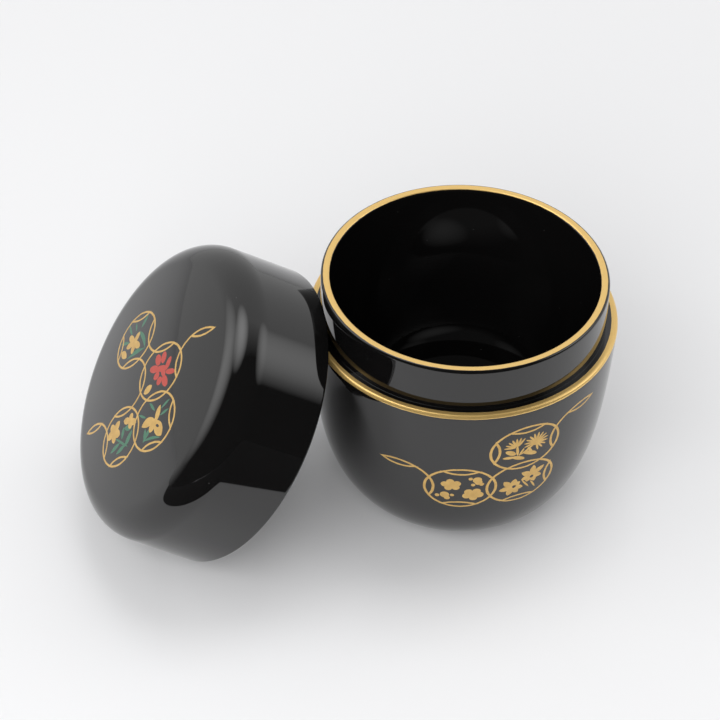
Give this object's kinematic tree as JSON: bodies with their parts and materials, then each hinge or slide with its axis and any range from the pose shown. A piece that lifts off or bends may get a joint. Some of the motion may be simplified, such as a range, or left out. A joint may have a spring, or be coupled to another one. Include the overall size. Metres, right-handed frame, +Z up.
{
  "type": "lacquer tea caddy",
  "caption": "Round black lacquer tea caddy with a tall collar, standing open and empty, its domed lid leaning against it.",
  "frame": {"origin": "middle of the caddy's foot, on the surface that it stands on", "axes": "+Z up along the caddy's axis; -X towards the lid that leans on it; Y across, and Y = 0 is the mirror plane"},
  "size_m": [0.1161, 0.066, 0.0644],
  "materials": {
    "body_lacquer": "polished black lacquer on turned wood, with gold bands and painted ornament",
    "lid_lacquer": "polished black lacquer on turned wood, with painted ornament in gold, green and red"
  },
  "bodies": {
    "root": {"caddy_body": "body_lacquer", "lid": "lid_lacquer"}
  },
  "joints": []
}
